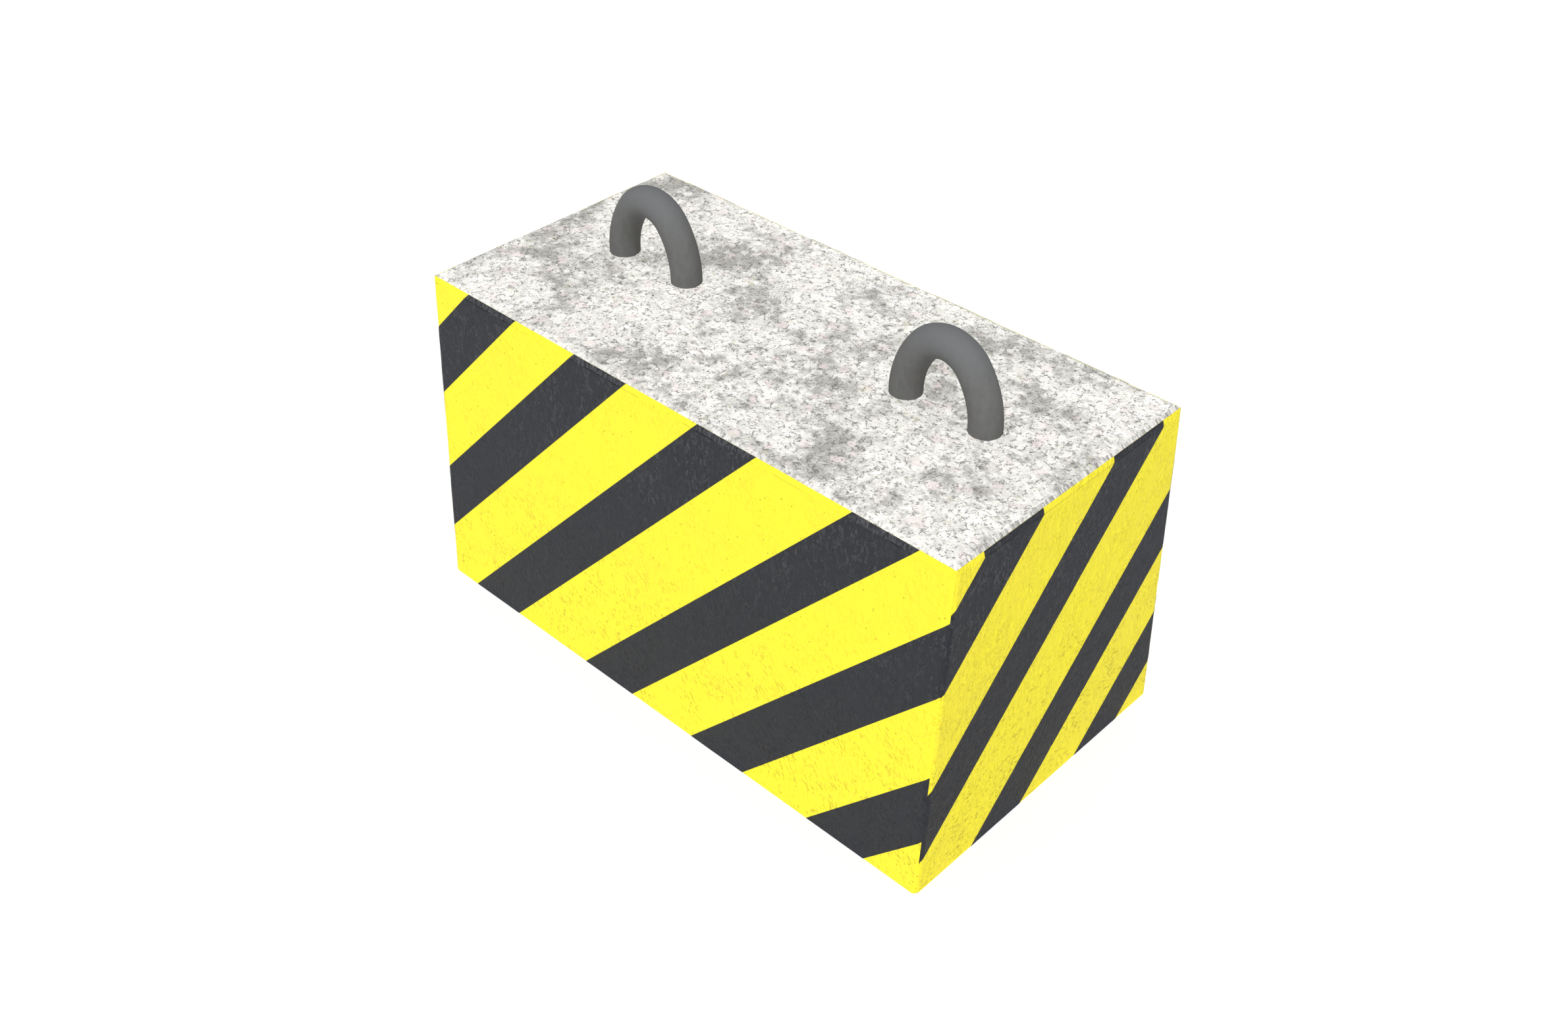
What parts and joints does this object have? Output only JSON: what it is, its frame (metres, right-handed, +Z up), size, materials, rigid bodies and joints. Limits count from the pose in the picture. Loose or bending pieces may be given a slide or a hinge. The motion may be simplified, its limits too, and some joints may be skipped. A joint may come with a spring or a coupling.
{
  "type": "concrete barrier block",
  "caption": "Battered precast concrete traffic barrier block with cast-in lifting loops, an inner steel cage, and yellow and black diagonal hazard paint.",
  "frame": {"origin": "centre of the block's footprint, on the ground", "axes": "+X along the block's length, +Y across it towards the rear side, +Z up"},
  "size_m": [1.1014, 0.6014, 0.7379],
  "materials": {
    "concrete": "rough cast, mottled pale grey",
    "loop_steel": "dull dark grey, slightly worn",
    "cage_steel": "lightly rusted mill finish",
    "tie_wire": "annealed wire, dull",
    "mortar": "smooth grey mortar",
    "yellow_paint": "masonry paint, satin, follows the concrete's relief",
    "black_paint": "masonry paint, satin, follows the concrete's relief"
  },
  "bodies": {
    "root": {"concrete_block": "concrete", "lifting_loop_left": "loop_steel", "lifting_loop_right": "loop_steel", "bottom_bar_front": "cage_steel", "bottom_bar_middle": "cage_steel", "bottom_bar_rear": "cage_steel", "side_bar_front": "cage_steel", "side_bar_rear": "cage_steel", "top_bar_front": "cage_steel", "top_bar_rear": "cage_steel", "link_1": "cage_steel", "link_2": "cage_steel", "link_3": "cage_steel", "link_4": "cage_steel", "link_5": "cage_steel", "link_6": "cage_steel", "link_7": "cage_steel", "anchor_bar_left_outer": "cage_steel", "anchor_bar_left_inner": "cage_steel", "anchor_bar_right_inner": "cage_steel", "anchor_bar_right_outer": "cage_steel", "bottom_cover_blocks": "mortar", "side_cover_blocks": "mortar", "tie_wires": "tie_wire", "yellow_coat": "yellow_paint", "black_bands_front": "black_paint", "black_bands_rear": "black_paint", "black_bands_left_end": "black_paint", "black_bands_right_end": "black_paint"}
  },
  "joints": []
}
